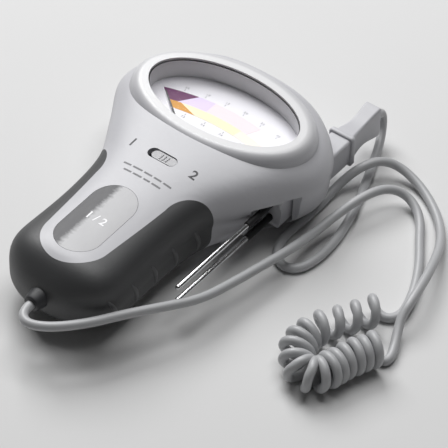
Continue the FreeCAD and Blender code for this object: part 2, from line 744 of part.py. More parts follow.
def switch_housing():
    """The slide switch's box, open along its top for the knob's neck."""
    y = size("switch_y")
    body = box("switch_box", 15, 7, SWITCH_TOP_Z - SWITCH_BASE_Z, (-7.5, y - 3.5, SWITCH_BASE_Z))
    inside = box("switch_inside", 12.4, 4.8, 2.3, (-6.2, y - 2.4, SWITCH_BASE_Z + 0.8))
    neck = box("switch_neck_slot", 10.4, 3.6, 3, (-5.2, y - 1.8, SWITCH_BASE_Z + 2))
    return cut("switch_hollow", cut("switch_shell", body, inside), neck)


def switch_contacts():
    """Three contact strips on the floor of the switch box."""
    y = size("switch_y")
    return group("contacts", [
        box("contact_%d" % i, 2.6, 3.6, 0.3, (x - 1.3, y - 1.8, SWITCH_BASE_Z + 0.8))
        for i, x in enumerate((-4.2, 0.0, 4.2))
    ])


def switch_knob():
    """The pill-shaped knob: a cap in the shell's slot on a neck."""
    x, y = size("switch_rest_x"), size("switch_y")
    cap = pad("knob_cap", stadium(x, y, size("knob_long"), size("knob_wide")), 36.8, 2.5)
    neck = box("knob_neck", 6.0, 3.0, 3.2, (x - 3.0, y - 1.5, SWITCH_BASE_Z + 1.7))
    ribs = [box("knob_rib_%d" % i, 0.6, 3.0, 0.5, (x + dx - 0.3, y - 1.5, 39.1))
            for i, dx in enumerate((-1.6, 0, 1.6))]
    return fuse("knob", [cap, neck] + ribs)


def switch_wiper():
    """The sliding contact under the knob's neck."""
    x, y = size("switch_rest_x"), size("switch_y")
    return box("wiper", 7.4, 4.2, 0.5, (x - 3.7, y - 2.1, SWITCH_BASE_Z + 1.2))


def circuit_board():
    """The circuit board under the switch, with its two screw holes."""
    length = size("board_long")
    centre_y = size("switch_y") - length / 2 + 6
    outline = rectangle(0, centre_y, size("board_wide"), length)
    holes = [Part.Circle(Vector(x, centre_y - length / 2 + 4, 0), Vector(0, 0, 1), 1.3)
             for x in (-10.5, 10.5)]
    return pad("board", outline + holes, size("board_base_z"), "Dims.board_thick")


def resistors():
    """Four resistors under the board that set the two scales."""
    y = size("switch_y") - 6
    return group("resistor_set", [
        cylinder("resistor_%d" % i, 1.2, 6.4, (-12 + 8 * (i % 2), y - 5 * (i // 2),
                                              size("board_base_z") - 1.2), "X")
        for i in range(4)
    ])


def trimmer():
    """The calibration trimmer."""
    y = size("switch_y") - 8
    return cut("trimmer_slotted",
               cylinder("trimmer_can", 3.2, 3.4, (9, y, size("board_base_z") - 3.4)),
               box("trimmer_slot", 3.6, 0.8, 1.0, (7.2, y - 0.4, size("board_base_z") - 3.6)))


keep(switch_housing(), "switch_housing")
keep(switch_contacts(), "switch_contacts")
keep(switch_knob(), "switch_knob")
keep(switch_wiper(), "switch_wiper")
keep(circuit_board(), "circuit_board")
keep(resistors(), "resistors")
keep(trimmer(), "trimmer")


# ---------------------------------------------------------------- probe
CAVITY_START_Y = -13.0
CAVITY_END_Y = 30.0
CAVITY_WIDE = 7.0
CAVITY_HIGH = 10.6
SLEEVE_SEAT = 2.6


def probe_block(name, wide, high, start_y, end_y):
    return box(name, wide, end_y - start_y, high,
               (size("probe_x") - wide / 2, start_y, size("probe_z") - high / 2))


def rods(name, radius, start_y, end_y):
    """A pair of round bars along the probe, one above the other."""
    x, z, spread = size("probe_x"), size("probe_z"), size("rod_spread")
    return [cylinder("%s_%d" % (name, i), radius, end_y - start_y, (x, start_y, z + side * spread), "Y")
            for i, side in enumerate((1, -1))]


def probe_body():
    """The long hollow body, scooped at its tip, with the electrodes' holes."""
    wide, high = size("probe_wide"), size("probe_high")
    start, end = size("probe_tip_y"), size("probe_flange_y")
    blank = DOC.addObject("Part::Fillet", "probe_rounded")
    blank.Base = probe_block("probe_blank", wide, high, start, end)
    DOC.recompute()
    along = [i + 1 for i, e in enumerate(blank.Base.Shape.Edges)
             if abs(e.tangentAt(e.FirstParameter).y) > 0.9]
    blank.Edges = [(i, 1.3, 1.3) for i in along]
    scoop = cylinder("probe_scoop", 9.0, wide + 4,
                     (size("probe_x") - wide / 2 - 2, start - 7.6, size("probe_z")), "X")
    cavity = probe_block("probe_cavity", CAVITY_WIDE, CAVITY_HIGH, CAVITY_START_Y, end + 1)
    holes = rods("probe_hole", "Dims.rod_radius + 0.02", start - 2, CAVITY_START_Y + 1)
    holes += rods("sleeve_hole", "Dims.sleeve_radius + 0.02", start - 2, start + SLEEVE_SEAT)
    return cut("probe_open", blank, fuse("probe_removed", [scoop, cavity] + holes))


GRIP_SECTIONS = [
    # y, width (x), height (z), corner radius
    (31.0, 11.4, 14.6, 1.2),
    (33.2, 11.2, 14.4, 1.2),
    (36.5, 8.6, 12.8, 1.1),
    (42.0, 7.2, 11.6, 1.0),
    (48.0, 7.2, 13.0, 1.0),
    (55.0, 7.9, 15.4, 1.0),
]


def rounded_rectangle(y, wide, high, radius):
    """An upright rounded rectangle across the probe's axis."""
    x0, z0 = size("probe_x"), size("probe_z")
    x, z = wide / 2, high / 2
    bend = radius * (1 - math.sqrt(0.5))

    def at(px, pz):
        return Vector(x0 + px, y, z0 + pz)

    edges = []
    for sx, sz, turn in ((1, 1, False), (-1, 1, True), (-1, -1, False), (1, -1, True)):
        first = at(sx * x, sz * (z - radius))
        last = at(sx * (x - radius), sz * z)
        middle = at(sx * (x - bend), sz * (z - bend))
        if turn:
            first, last = last, first
        edges.append(Part.Arc(first, middle, last))
    joined = []
    for index, edge in enumerate(edges):
        following = edges[(index + 1) % 4]
        joined.append(edge.toShape())
        joined.append(Part.LineSegment(edge.EndPoint, following.StartPoint).toShape())
    return Part.Wire(joined)


def probe_grip():
    """The finger grip: a square flange, then a waist that widens towards the cord."""
    flange_end = GRIP_SECTIONS[1][0]
    flange = Part.makeLoft([rounded_rectangle(*s) for s in GRIP_SECTIONS[:2]], True, True)
    waist = Part.makeLoft([rounded_rectangle(*s) for s in
                           [(flange_end, 9.6, 13.4, 1.1)] + GRIP_SECTIONS[2:]], True, False)
    grip = flange.fuse(waist).removeSplitter()
    x, z = size("probe_x"), size("probe_z")
    duct = Part.makeCylinder(1.6, 30, Vector(x, 27, z), Vector(0, 1, 0))
    return feature("grip_solid", grip.cut(duct))


def electrode(name, side):
    """One electrode: a polished rod with a slightly larger rounded end."""
    x, z = size("probe_x"), size("probe_z") + side * size("rod_spread")
    end = size("rod_end_y")
    rod = cylinder(name + "_rod", "Dims.rod_radius", "%g - Dims.rod_end_y" % -10.0,
                   (x, end, z), "Y")
    ball = bind(DOC.addObject("Part::Sphere", name + "_ball"), Radius="Dims.rod_radius + 0.12")
    ball.Placement = Placement(Vector(x, end, z), Rotation())
    return fuse(name, [rod, ball])


def electrode_sleeves():
    """The black sleeves at the roots of the electrodes."""
    start = size("probe_tip_y") - size("sleeve_long")
    outer = rods("sleeve", "Dims.sleeve_radius", start, size("probe_tip_y") + SLEEVE_SEAT)
    inner = rods("sleeve_bore", "Dims.rod_radius", start - 1, size("probe_tip_y") + 4)
    return group("sleeves", [
        cut("sleeve_tube_%d" % i, a, b) for i, (a, b) in enumerate(zip(outer, inner))
    ])


def crimps():
    """The crimped ends that join the leads to the electrodes."""
    outer = rods("crimp", 1.6, -11.5, -6.0)
    inner = rods("crimp_bore", "Dims.rod_radius", -12.5, -9.9)
    return group("crimp_pair", [cut("crimp_%d" % i, a, b)
                                for i, (a, b) in enumerate(zip(outer, inner))])


def probe_leads():
    """The two thin leads inside the probe body."""
    return group("lead_pair", rods("lead", 0.6, -6.0, 26.0))


def cord_bushing():
    """The bushing that grips the cord where it leaves the probe."""
    x, z = size("probe_x"), size("probe_z")
    return cylinder("bushing", 1.58, 20.0, (x, 35.0, z), "Y")


keep(probe_body(), "probe_body")
keep(probe_grip(), "probe_grip")
keep(electrode("electrode_a", 1), "electrode_upper")
keep(electrode("electrode_b", -1), "electrode_lower")
keep(electrode_sleeves(), "electrode_sleeves")
keep(crimps(), "lead_crimps")
keep(probe_leads(), "probe_leads")
keep(cord_bushing(), "cord_bushing")


# ---------------------------------------------------------------- cord, gland and wires
def tangent_path(route, name):
    """Straight runs joined by tangent arcs, each as large as its two runs allow."""
    points = [Vector(*p) for p in route]
    radii = []
    edges = []
    start = points[0]
    for before, corner, after in zip(points, points[1:], points[2:]):
        into, out = (corner - before), (after - corner)
        turn = into.getAngle(out)
        shorter = min(into.Length, out.Length)
        trim = 0.45 * shorter
        radii.append(trim / math.tan(turn / 2))
        first = corner - into.normalize() * trim
        last = corner + out.normalize() * trim
        inward = (last - corner).add(first - corner).normalize()
        middle = corner + inward * (math.hypot(trim, radii[-1]) - radii[-1])
        edges.append(Part.LineSegment(start, first).toShape())
        edges.append(Part.Arc(first, middle, last).toShape())
        start = last
    edges.append(Part.LineSegment(start, points[-1]).toShape())
    print(name, "radii", [round(r, 1) for r in radii],
          "runs", [round((b - a).Length, 1) for a, b in zip(points, points[1:])])
    return Part.Wire(edges)


def tube(name, route, diameter):
    """A round tube along a route, its volume checked against section times length."""
    path = tangent_path(route, name)
    start = path.Edges[0]
    ring = Part.Wire([Part.Circle(start.Vertexes[0].Point, start.tangentAt(start.FirstParameter),
                                  diameter / 2).toShape()])
    solid = path.makePipeShell([ring], True, False)
    if solid.Volume < 0:
        solid = solid.reversed()
    expected = math.pi * diameter ** 2 / 4 * path.Length
    print(name, "length", round(path.Length, 1), "volume ratio", round(solid.Volume / expected, 4))
    return feature(name, solid)


# Centre line from the gland to the curly stretch: round the handle's end, past the electrodes'
# tips, over the loop of the far stretch twice, and down to the floor beside the head.
CORD_NEAR = [
    (0.0, -124.3, 20.0), (0.0, -129.8, 20.0), (5.4, -133.8, 20.2), (14.2, -129.6, 20.4),
    (23.8, -119.0, 20.2), (31.2, -105.5, 19.2), (39.2, -91.0, 17.0), (47.2, -75.0, 14.0),
    (50.0, -57.5, 11.6), (53.0, -41.0, 10.6), (56.0, -26.0, 10.2), (56.4, -10.0, 7.6),
    (58.2, 3.0, 9.4), (61.4, 17.0, 11.2), (65.2, 28.6, 10.0), (71.2, 34.4, 6.0),
    (78.4, 32.8, 3.2), (84.6, 27.0, 2.0), (89.2, 19.6, 2.0), (98.2, 6.5, 2.0),
    (104.7, -6.6, 2.0), (107.4, -19.1, 2.0), (103.3, -27.3, 2.0),
]
# Middle line of the curly stretch: out along one row, round, and back along the other.
CURL = [
    (103.3, -27.3, 8.0), (96.4, -41.4, 8.0), (89.4, -54.0, 8.0), (87.0, -66.6, 8.0),
    (91.0, -77.6, 8.0), (100.4, -82.0, 8.0), (109.0, -76.2, 8.0), (112.4, -65.6, 8.0),
    (114.6, -55.6, 8.0), (118.0, -45.2, 8.0),
]
# Centre line from the curly stretch to the probe: over the near stretch, wide round beside the
# head, back in a small loop, and up to the end of the probe's grip.
CORD_FAR = [
    (118.0, -45.2, 2.0), (113.3, -34.1, 3.0), (111.6, -26.3, 6.0), (111.4, -20.2, 9.6),
    (109.6, -10.6, 10.6), (106.0, 3.5, 8.8), (99.3, 20.7, 4.0), (89.2, 34.3, 2.0),
    (73.8, 45.0, 2.2), (60.2, 47.1, 6.0), (53.4, 40.7, 10.4), (49.0, 30.4, 10.0),
    (43.0, 22.7, 2.8), (41.3, 5.5, 2.0), (41.7, -11.2, 2.0), (45.9, -23.8, 2.0),
    (53.7, -30.2, 2.0), (61.1, -27.2, 2.0), (63.7, -14.6, 2.0), (62.2, 1.6, 2.0),
    (57.7, 18.0, 2.0), (52.0, 34.0, 2.0), (47.4, 45.8, 2.0), (44.4, 54.4, 3.8),
    (41.2, 62.8, 7.0), (39.6, 64.2, 12.6), (39.2, 60.4, 16.0), (39.2, 55.05, 16.0),
]


def cable_gland():
    """The moulded gland in the handle's end, with a collar inside."""
    start = size("gland_end_y")
    z = size("gland_z")
    nose = cylinder("gland_nose", "Dims.gland_radius", 13.0, (0, start, z), "Y")
    collar = cylinder("gland_collar", "Dims.gland_radius + 1.6", 2.0, (0, start + 11.0, z), "Y")
    return fuse("gland", [nose, collar])


INNER_WIRE = 0.6
WIRE_STARTS = (-2.0, 2.0)


def inner_wire(name, side):
    """A thin lead from the gland to the circuit board."""
    y = size("gland_end_y") + 13.0
    route = [(side, y, size("gland_z")), (side, y + 8, size("gland_z")), (side * 2, y + 20, 21),
             (side * 3.4, y + 32, 25), (side * 3.4, y + 41, 29),
             (side * 3.4, y + 49, size("board_base_z") - INNER_WIRE)]
    return tube(name, route, 2 * INNER_WIRE)


def movement_wire(name, side):
    """A thin lead from the circuit board down to the meter movement."""
    pivot_y = size("pivot_y")
    route = [(side, -43.0, size("board_base_z") - 0.05), (side, -43.0, 24.0),
             (side, pivot_y - 16, 16.5), (side, pivot_y - 12, 13.0),
             (side, pivot_y - 7, FRAME_BASE_Z + FRAME_THICK + INNER_WIRE)]
    return tube(name, route, 2 * INNER_WIRE)


keep(cable_gland(), "cable_gland")
keep(inner_wire("wire_a", WIRE_STARTS[0]), "wire_red")
keep(inner_wire("wire_b", WIRE_STARTS[1]), "wire_black")
keep(movement_wire("wire_c", -6.0), "movement_wire_red")
keep(movement_wire("wire_d", 6.0), "movement_wire_black")
keep(tube("near_tube", CORD_NEAR, size("cord_diameter")), "cord_gland_side")
keep(tube("curl_tube", CURL, size("curl_diameter")), "cord_curly")
keep(tube("far_tube", CORD_FAR, size("cord_diameter")), "cord_probe_side")


# ---------------------------------------------------------------- check and write
def main():
    DOC.recompute()
    for item in DOC.Objects:
        faults = [word for word in item.State if word in ("Invalid", "Error")]
        if faults:
            raise RuntimeError("%s failed: %s" % (item.Name, faults))
    os.makedirs("parts", exist_ok=True)
    for item in SUBPARTS:
        shape = item.Shape
        if shape.isNull() or not shape.isValid() or shape.Volume <= 0:
            raise RuntimeError("%s has no valid shape" % item.Label)
        shape.exportStep("parts/%s.step" % item.Label)
        print(item.Label, "solids", len(shape.Solids), "volume", round(shape.Volume, 1))


main()
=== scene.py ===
"""Looks of the analogue pool-water tester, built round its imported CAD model."""
import math

import bmesh
import bpy
from mathutils import Matrix, Vector
from mathutils.bvhtree import BVHTree


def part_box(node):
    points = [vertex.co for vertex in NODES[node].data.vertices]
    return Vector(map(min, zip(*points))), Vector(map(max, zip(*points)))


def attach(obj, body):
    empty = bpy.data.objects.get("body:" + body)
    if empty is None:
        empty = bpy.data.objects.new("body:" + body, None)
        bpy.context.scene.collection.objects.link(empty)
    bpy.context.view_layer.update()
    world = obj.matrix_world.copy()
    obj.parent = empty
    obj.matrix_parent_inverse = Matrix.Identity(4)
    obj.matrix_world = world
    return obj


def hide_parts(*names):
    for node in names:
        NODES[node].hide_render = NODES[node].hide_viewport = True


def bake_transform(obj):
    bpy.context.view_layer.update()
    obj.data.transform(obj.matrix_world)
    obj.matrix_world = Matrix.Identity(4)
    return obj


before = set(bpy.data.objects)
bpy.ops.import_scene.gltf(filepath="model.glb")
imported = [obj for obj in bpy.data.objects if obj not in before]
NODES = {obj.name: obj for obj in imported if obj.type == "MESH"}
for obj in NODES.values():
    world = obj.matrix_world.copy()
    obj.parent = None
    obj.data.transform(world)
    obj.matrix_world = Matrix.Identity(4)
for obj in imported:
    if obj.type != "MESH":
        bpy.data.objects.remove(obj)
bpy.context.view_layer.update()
MM = 0.001


def mm(x, y, z):
    """A place given in millimetres, in the frame's metres."""
    return Vector((x, y, z)) * MM


# ---------------------------------------------------------------- materials
def shade(material, kind, **values):
    """A new shader node of a material."""
    node = material.node_tree.nodes.new(kind)
    for key, value in values.items():
        setattr(node, key, value)
    return node


def noise(material, scale, detail=3.0, stretch=(1, 1, 1)):
    """Noise that sticks to the object, in its own metres."""
    links = material.node_tree.links
    coords = shade(material, "ShaderNodeTexCoord")
    mapping = shade(material, "ShaderNodeMapping")
    mapping.inputs["Scale"].default_value = stretch
    grain = shade(material, "ShaderNodeTexNoise")
    grain.inputs["Scale"].default_value = scale
    grain.inputs["Detail"].default_value = detail
    links.new(coords.outputs["Object"], mapping.inputs["Vector"])
    links.new(mapping.outputs["Vector"], grain.inputs["Vector"])
    return grain.outputs["Fac"]


NOISE_LOW = 0.3
NOISE_HIGH = 0.7


def spread(material, value, low, high):
    """Map the values that noise mostly takes onto a range."""
    ramp = shade(material, "ShaderNodeMapRange")
    ramp.inputs["From Min"].default_value = NOISE_LOW
    ramp.inputs["From Max"].default_value = NOISE_HIGH
    ramp.inputs["To Min"].default_value = low
    ramp.inputs["To Max"].default_value = high
    material.node_tree.links.new(value, ramp.inputs["Value"])
    return ramp.outputs["Result"]


def blend_colours(material, factor, first, second):
    """The first colour where the factor is 0, and the second where it is 1."""
    mix = shade(material, "ShaderNodeMix", data_type="RGBA")
    mix.inputs[6].default_value = (*first, 1)
    mix.inputs[7].default_value = (*second, 1)
    material.node_tree.links.new(factor, mix.inputs[0])
    return mix.outputs[2]


def surface(name, colour, rough, vary=0.04, grain=900.0, bump=0.04, metal=0.0, coat=0.0,
            coat_rough=0.1, stretch=(1, 1, 1), specular=0.5, rough_vary=0.05):
    """A finish with slight colour and gloss variation and a fine surface grain."""
    material = bpy.data.materials.new(name)
    material.use_nodes = True
    links = material.node_tree.links
    shader = material.node_tree.nodes["Principled BSDF"]
    shader.inputs["Metallic"].default_value = metal
    shader.inputs["Specular IOR Level"].default_value = specular
    shader.inputs["Coat Weight"].default_value = coat
    shader.inputs["Coat Roughness"].default_value = coat_rough
    broad = noise(material, 28.0, 2.0)
    darker = [c * (1 - vary) for c in colour]
    lighter = [min(1.0, c * (1 + vary)) for c in colour]
    tint = blend_colours(material, spread(material, broad, 0, 1), darker, lighter)
    links.new(tint, shader.inputs["Base Color"])
    fine = noise(material, grain, 4.0, stretch)
    gloss = spread(material, fine, rough - rough_vary, rough + rough_vary)
    links.new(gloss, shader.inputs["Roughness"])
    relief = shade(material, "ShaderNodeBump")
    relief.inputs["Strength"].default_value = bump
    relief.inputs["Distance"].default_value = 0.0002
    links.new(fine, relief.inputs["Height"])
    links.new(relief.outputs["Normal"], shader.inputs["Normal"])
    return material


def clear_plastic():
    """The window's clear plastic: mostly see-through, with a sharp gloss."""
    material = bpy.data.materials.new("clear_window")
    material.use_nodes = True
    shader = material.node_tree.nodes["Principled BSDF"]
    shader.inputs["Base Color"].default_value = (0.50, 0.52, 0.54, 1)
    shader.inputs["Alpha"].default_value = 0.015
    shader.inputs["Specular IOR Level"].default_value = 0.3
    haze = noise(material, 60.0, 2.0)
    gloss = spread(material, haze, 0.02, 0.06)
    material.node_tree.links.new(gloss, shader.inputs["Roughness"])
    return material


# The label's dark side is painted reflection: it stands in for dark surroundings mirrored in the
# silver. The light colour is the silver itself.
LABEL_LIGHT = (0.47, 0.47, 0.48)
LABEL_PAINTED_REFLECTION = (0.12, 0.12, 0.125)
LABEL_BORDER = -3.1 * MM
LABEL_FADE = 1.3 * MM
LABEL_RAGGED = 0.7 * MM


def painted_reflection_label():
    """Brushed silver foil, with a painted dark reflection along one side and a soft ragged border
    between.
    """
    material = surface("brushed_label_painted_reflection", LABEL_LIGHT, 0.50, grain=700.0, bump=0.08,
                       metal=0.1, stretch=(6, 0.35, 1), specular=0.25)
    links = material.node_tree.links
    shader = material.node_tree.nodes["Principled BSDF"]
    coords = shade(material, "ShaderNodeTexCoord")
    parts = shade(material, "ShaderNodeSeparateXYZ")
    links.new(coords.outputs["Object"], parts.inputs["Vector"])
    streaks = noise(material, 900.0, 4.0, (0.5, 1.0, 1))
    ragged = spread(material, streaks, -LABEL_RAGGED, LABEL_RAGGED)
    edge = shade(material, "ShaderNodeMath", operation="ADD")
    links.new(parts.outputs["X"], edge.inputs[0])
    links.new(ragged, edge.inputs[1])
    side = shade(material, "ShaderNodeMapRange")
    side.inputs["From Min"].default_value = LABEL_BORDER - LABEL_FADE
    side.inputs["From Max"].default_value = LABEL_BORDER + LABEL_FADE
    links.new(edge.outputs[0], side.inputs["Value"])
    # Blend the silver into the painted dark reflection across the ragged border.
    foil = blend_colours(material, side.outputs["Result"], LABEL_PAINTED_REFLECTION, LABEL_LIGHT)
    links.new(foil, shader.inputs["Base Color"])
    return material


CASE_COLOUR = (0.52, 0.52, 0.545)
# The rim is the case's plastic. Its lighter white is painted highlight where light falls round the
# window, and it fades into the case's colour outwards.
RIM_PAINTED_HIGHLIGHT = (0.68, 0.68, 0.69)
RIM_OUTSIDE = (44.6, 25.6)
RIM_FADE = (0.88, 1.0)


def rim_painted_highlight():
    """The rim's smooth white, lighter than the case as painted highlight, passing into the case's
    colour at its outer edge.
    """
    material = surface("rim_painted_highlight", RIM_PAINTED_HIGHLIGHT, 0.34, grain=500.0, bump=0.01, coat=0.1)
    links = material.node_tree.links
    coords = shade(material, "ShaderNodeTexCoord")
    mapping = shade(material, "ShaderNodeMapping")
    mapping.inputs["Scale"].default_value = (*(1 / (half * MM) for half in RIM_OUTSIDE), 0)
    outwards = shade(material, "ShaderNodeVectorMath", operation="LENGTH")
    band = shade(material, "ShaderNodeMapRange")
    band.inputs["From Min"].default_value = RIM_FADE[0]
    band.inputs["From Max"].default_value = RIM_FADE[1]
    links.new(coords.outputs["Object"], mapping.inputs["Vector"])
    links.new(mapping.outputs["Vector"], outwards.inputs[0])
    links.new(outwards.outputs["Value"], band.inputs["Value"])
    tint = blend_colours(material, band.outputs["Result"], RIM_PAINTED_HIGHLIGHT, CASE_COLOUR)
    links.new(tint, material.node_tree.nodes["Principled BSDF"].inputs["Base Color"])
    return material


CASE = surface("case_plastic", CASE_COLOUR, 0.42, vary=0.012, grain=1600.0, bump=0.05)
RIM = rim_painted_highlight()
RUBBER = surface("boot_rubber", (0.046, 0.047, 0.049), 0.50, vary=0.08, grain=2200.0, bump=0.12,
                 specular=0.7)
# The ribs use the boot's rubber painted lighter: a painted highlight where the raised ribs catch
# the light.
RIB_PAINTED_HIGHLIGHT = surface("rib_rubber_painted_highlight", (0.085, 0.086, 0.089), 0.45, vary=0.08, grain=2200.0, bump=0.12,
              specular=0.7)
GLAND = surface("gland_rubber", (0.036, 0.037, 0.040), 0.52, vary=0.10, grain=1800.0, bump=0.10)
LABEL = painted_reflection_label()
WINDOW = clear_plastic()
CARD = surface("dial_card", (0.90, 0.89, 0.94), 0.5, vary=0.015, grain=400.0, bump=0.01)
STEEL = surface("screw_steel", (0.55, 0.55, 0.56), 0.30, grain=900.0, metal=1.0)
CHROME = surface("polished_rod", (0.78, 0.78, 0.79), 0.07, vary=0.02, grain=300.0, bump=0.015,
                 metal=1.0, stretch=(1, 12, 1), rough_vary=0.03)
BRASS = surface("brass", (0.70, 0.55, 0.26), 0.32, vary=0.08, metal=1.0)
IRON = surface("soft_iron", (0.27, 0.27, 0.28), 0.45, vary=0.1, metal=1.0)
COPPER = surface("enamelled_copper", (0.55, 0.22, 0.09), 0.3, grain=5000.0, bump=0.3, metal=0.7,
                 stretch=(0.2, 0.2, 1))
NEEDLE = surface("needle_paint", (0.02, 0.02, 0.022), 0.4)
KNOB = surface("knob_plastic", (0.34, 0.34, 0.355), 0.34, vary=0.02, grain=600.0, bump=0.02,
               coat=0.15)
BLACK = surface("black_plastic", (0.012, 0.012, 0.013), 0.16, vary=0.1, grain=700.0, bump=0.02,
                coat=0.5)
SLEEVE = surface("sleeve_rubber", (0.012, 0.012, 0.013), 0.55, vary=0.1, grain=1500.0, bump=0.05,
                 specular=0.35)
BOARD = surface("solder_mask", (0.03, 0.16, 0.07), 0.35, vary=0.15, grain=300.0)
RESISTOR = surface("resistor_lacquer", (0.60, 0.46, 0.28), 0.3, vary=0.1)
PROBE = surface("probe_plastic", (0.52, 0.52, 0.545), 0.46, vary=0.015, grain=1500.0, bump=0.05)
HOLDER = surface("holder_plastic", (0.55, 0.555, 0.57), 0.5, vary=0.02, grain=1500.0, bump=0.05)
RED = surface("red_wire", (0.45, 0.03, 0.02), 0.4)
CORD = surface("cord_sheath", (0.43, 0.435, 0.445), 0.38, vary=0.02, grain=1400.0, bump=0.06)
# A dark ring of painted shadow, put where the gap between the window and its rim is in shade.
PAINTED_SHADOW_LINE = surface("rim_shadow_line", (0.055, 0.055, 0.06), 0.5, vary=0.1)
INK = surface("dark_ink", (0.045, 0.045, 0.05), 0.55)
GREY_INK = surface("grey_ink", (0.30, 0.30, 0.32), 0.55)
RULE_INK = surface("rule_ink", (0.17, 0.17, 0.18), 0.55)
WHITE_INK = surface("white_ink", (0.90, 0.90, 0.92), 0.45)
PURPLE = surface("band_purple", (0.13, 0.006, 0.10), 0.5, vary=0.05)
ORANGE = surface("band_orange", (0.70, 0.31, 0.02), 0.5, vary=0.05)
LAVENDER = surface("band_lavender", (0.80, 0.68, 0.94), 0.5, vary=0.03)
YELLOW = surface("band_yellow", (0.96, 0.87, 0.60), 0.5, vary=0.02)
PINK = surface("band_pink", (0.95, 0.80, 0.84), 0.5, vary=0.02)
PEACH = surface("band_peach", (0.97, 0.86, 0.78), 0.5, vary=0.02)

FINISHES = {
    CASE: ["front_shell", "rear_shell"],
    RUBBER: ["grip_boot"],
    RIM: ["window_rim"],
    WINDOW: ["window_lens"],
    LABEL: ["label_plate"],
    HOLDER: ["probe_holder"],
    CARD: ["dial_plate"],
    STEEL: ["case_screws", "dial_screws", "jewel_screws", "coil_former", "pointer_staff",
            "pointer_balance"],
    BRASS: ["dial_pillars", "movement_frame", "lead_crimps", "hairspring_upper",
            "hairspring_lower", "switch_contacts", "switch_wiper"],
    IRON: ["yoke_ring", "core_magnet"],
    COPPER: ["coil_winding"],
    NEEDLE: ["pointer_needle"],
    KNOB: ["switch_knob"],
    BLACK: ["switch_housing", "trimmer", "wire_black", "movement_wire_black",
            "probe_leads"],
    SLEEVE: ["electrode_sleeves"],
    BOARD: ["circuit_board"],
    RESISTOR: ["resistors"],
    PROBE: ["probe_body", "probe_grip", "cord_bushing"],
    CHROME: ["electrode_upper", "electrode_lower"],
    RED: ["wire_red", "movement_wire_red"],
}


def finish_nodes():
    """Give every CAD node its finish."""
    for material, names in FINISHES.items():
        for name in names:
            mesh = NODES[name].data
            mesh.materials.clear()
            mesh.materials.append(material)


# ---------------------------------------------------------------- building blocks
def made(name, mesh, materials, body="root", smooth=True):
    """A new piece, which rides on a body unless that is None."""
    mesh.materials.clear()
    for material in materials:
        mesh.materials.append(material)
    for face in mesh.polygons:
        face.use_smooth = smooth and len(face.vertices) <= 4
    piece = bpy.data.objects.new(name, mesh)
    bpy.context.scene.collection.objects.link(piece)
    if body:
        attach(piece, body)
    return piece


def from_lists(name, points, faces):
    """A mesh of points and faces."""
    mesh = bpy.data.meshes.new(name)
    mesh.from_pydata([tuple(p) for p in points], [], faces)
    mesh.update()
    return mesh


def ring_skin(rings, closed_ends=True):
    """Faces between equal rings of points, with a flat cap on each end."""
    count = len(rings[0])
    points = [p for ring in rings for p in ring]
    faces = []
    for r in range(len(rings) - 1):
        for i in range(count):
            j = (i + 1) % count
            faces.append((r * count + i, r * count + j, (r + 1) * count + j, (r + 1) * count + i))
    if closed_ends:
        last = (len(rings) - 1) * count
        faces.append(tuple(reversed(range(count))))
        faces.append(tuple(last + i for i in range(count)))
    return points, faces


def outward(mesh):
    """Make a closed mesh's faces point outwards."""
    work = bmesh.new()
    work.from_mesh(mesh)
    bmesh.ops.recalc_face_normals(work, faces=work.faces)
    work.to_mesh(mesh)
    work.free()
    return mesh


def skin_of(name):
    """A CAD node's surface, to place things on."""
    mesh = NODES[name].data
    return BVHTree.FromPolygons([v.co for v in mesh.vertices], [f.vertices for f in mesh.polygons])


ABOVE_ALL = 0.1


def lay_on(mesh, skin, lift):
    """Let a flat mesh down onto a surface, lifted by its own height above zero."""
    for vertex in mesh.vertices:
        start = Vector((vertex.co.x, vertex.co.y, ABOVE_ALL))
        place = skin.ray_cast(start, Vector((0, 0, -1)))[0]
        vertex.co.z = place.z + lift + vertex.co.z
    mesh.update()
    return mesh


# ---------------------------------------------------------------- cord
CORD_THICK = 4.0 * MM
COIL_RADIUS = 6.0 * MM
COIL_STEPS = 16

# From the gland round the handle's end, over the far stretch's loop and down beside the head.
NEAR_ROUTE = [mm(*p) for p in (
    (0.0, -124.3, 20.0), (0.0, -129.8, 20.0), (5.4, -133.8, 20.2), (14.2, -129.6, 20.4),
    (23.8, -119.0, 20.2), (31.2, -105.5, 19.2), (39.2, -91.0, 17.0), (47.2, -75.0, 14.0),
    (50.0, -57.5, 11.6), (53.0, -41.0, 10.6), (56.0, -26.0, 10.2), (56.4, -10.0, 7.6),
    (58.2, 3.0, 9.4), (61.4, 17.0, 11.2), (65.2, 28.6, 10.0), (71.2, 34.4, 6.0),
    (78.4, 32.8, 3.2), (84.6, 27.0, 2.0), (89.2, 19.6, 2.0), (98.2, 6.5, 2.0),
    (104.7, -6.6, 2.0), (107.8, -16.6, 2.0), (108.3, -21.4, 2.0), (107.2, -25.0, 2.0),
    (104.6, -27.2, 2.0),
)]
# The middle line of the curly stretch.
CURL_ROUTE = [mm(*p) for p in (
    (103.0, -27.7, 8.0), (96.9, -38.9, 8.0), (90.4, -50.0, 8.0), (87.9, -60.1, 8.0),
    (90.6, -70.0, 8.0), (97.6, -77.0, 8.0), (105.0, -75.2, 8.0), (107.2, -66.0, 8.0),
    (110.0, -56.6, 8.0), (115.0, -47.0, 8.0),
)]
